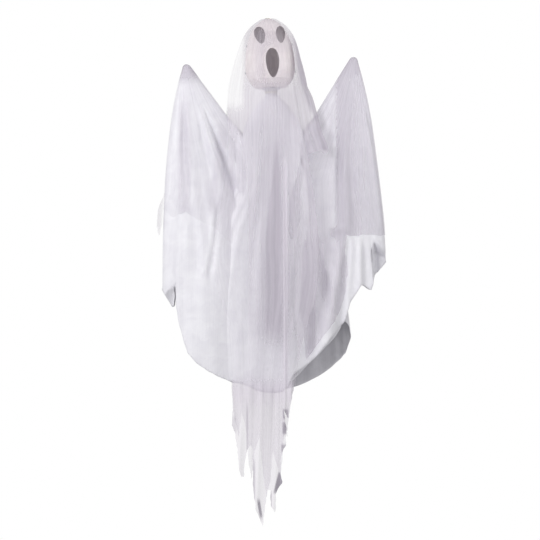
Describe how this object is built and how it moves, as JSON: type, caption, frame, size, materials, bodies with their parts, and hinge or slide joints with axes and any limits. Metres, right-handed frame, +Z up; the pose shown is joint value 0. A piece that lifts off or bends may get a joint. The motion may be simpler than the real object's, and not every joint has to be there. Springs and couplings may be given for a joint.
{
  "type": "yard ghost decoration",
  "caption": "Hanging yard ghost with a hollow head, posable raised arms, an opaque satin robe and a sheer gauze veil with a ragged tail.",
  "frame": {"origin": "the middle of the top face of the crown eyelet, from which the ghost hangs", "axes": "+Z up, -Y the way the face looks, +X to the viewer's right"},
  "size_m": [0.6698, 0.2429, 1.5164],
  "materials": {
    "satin": "satin",
    "gauze": "sheer",
    "shell": "matte",
    "frame_plastic": "matte",
    "steel": "brushed",
    "fibre": "matte",
    "foam": "foam"
  },
  "bodies": {
    "ghost": {"face_shell": "shell", "rear_shell": "shell", "seam_screw_1": "steel", "seam_screw_2": "steel", "seam_screw_3": "steel", "seam_screw_4": "steel", "crown_eyelet": "steel", "crown_washer": "steel", "neck_socket": "frame_plastic", "neck_band": "frame_plastic", "neck_pin": "steel", "spine_tube": "steel", "shoulder_yoke": "frame_plastic", "yoke_bolt": "steel", "yoke_nut": "steel", "left_pivot_bolt": "steel", "left_pivot_nut": "steel", "left_front_friction_washer": "fibre", "left_rear_friction_washer": "fibre", "right_pivot_bolt": "steel", "right_pivot_nut": "steel", "right_front_friction_washer": "fibre", "right_rear_friction_washer": "fibre", "gauze_crown": "gauze", "gauze_hood": "gauze", "front_veil_fall": "gauze", "back_veil_fall": "gauze", "satin_robe": "satin"},
    "left_arm": {"left_arm_knuckle": "frame_plastic", "left_arm_tube": "steel", "left_arm_rivet": "steel", "left_arm_pad": "foam", "left_hand_tip": "foam"},
    "left_wing": {"left_wing_satin": "satin", "left_wing_gauze": "gauze"},
    "right_arm": {"right_arm_knuckle": "frame_plastic", "right_arm_tube": "steel", "right_arm_rivet": "steel", "right_arm_pad": "foam", "right_hand_tip": "foam"},
    "right_wing": {"right_wing_satin": "satin", "right_wing_gauze": "gauze"}
  },
  "joints": [
    {"name": "left_shoulder", "type": "hinge", "parent": "ghost", "child": "left_arm", "pos_m": [-0.06291, 0, -0.39312], "axis": [0, -1, 0], "range_deg": [-14.25, 75.75], "deforming": ["left_wing_satin", "left_wing_gauze"]},
    {"name": "left_wing_hang", "type": "hinge", "parent": "left_arm", "child": "left_wing", "pos_m": [-0.24361, 0, -0.15114], "axis": [0, -1, 0], "range_deg": [-75.75, 14.25]},
    {"name": "right_shoulder", "type": "hinge", "parent": "ghost", "child": "right_arm", "pos_m": [0.09693, 0, -0.38614], "axis": [0, 1, 0], "range_deg": [-14.25, 75.75], "deforming": ["right_wing_satin", "right_wing_gauze"]},
    {"name": "right_wing_hang", "type": "hinge", "parent": "right_arm", "child": "right_wing", "pos_m": [0.25585, 0, -0.12933], "axis": [0, 1, 0], "range_deg": [-75.75, 14.25]}
  ],
  "couplings": [
    {"joint": "left_wing_hang", "follows": "left_shoulder", "ratio": -1},
    {"joint": "right_wing_hang", "follows": "right_shoulder", "ratio": -1}
  ]
}
